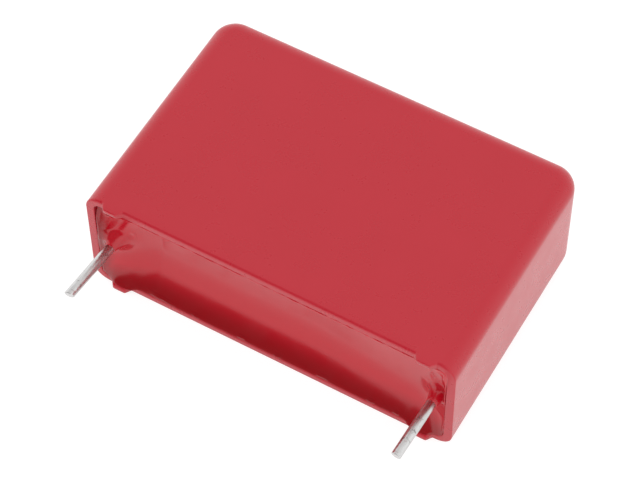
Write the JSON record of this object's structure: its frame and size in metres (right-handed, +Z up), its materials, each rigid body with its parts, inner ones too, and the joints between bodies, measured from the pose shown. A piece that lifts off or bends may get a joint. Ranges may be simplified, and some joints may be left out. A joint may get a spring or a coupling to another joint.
{
  "type": "box film capacitor",
  "caption": "Box-shaped film capacitor: a rounded red moulded case closed with cast resin, on standoff feet, with straight tinned wire leads for a circuit board.",
  "frame": {"origin": "middle of the large face that the part lies on", "axes": "+X along the lead pitch, -Y the way the leads point, +Z up from the large face that it lies on"},
  "size_m": [0.0316, 0.0261, 0.0107],
  "materials": {
    "case_plastic": "satin moulded red plastic",
    "cast_resin": "glossy red casting resin",
    "tinned_wire": "dull bright tin on copper wire, lightly scratched",
    "film_roll": "metallised plastic film, silvery",
    "sprayed_metal": "grainy sprayed zinc"
  },
  "bodies": {
    "root": {"case": "case_plastic", "film_winding": "film_roll", "end_contact_left": "sprayed_metal", "end_contact_right": "sprayed_metal", "lead_left": "tinned_wire", "lead_right": "tinned_wire", "resin_fill": "cast_resin"}
  },
  "joints": []
}
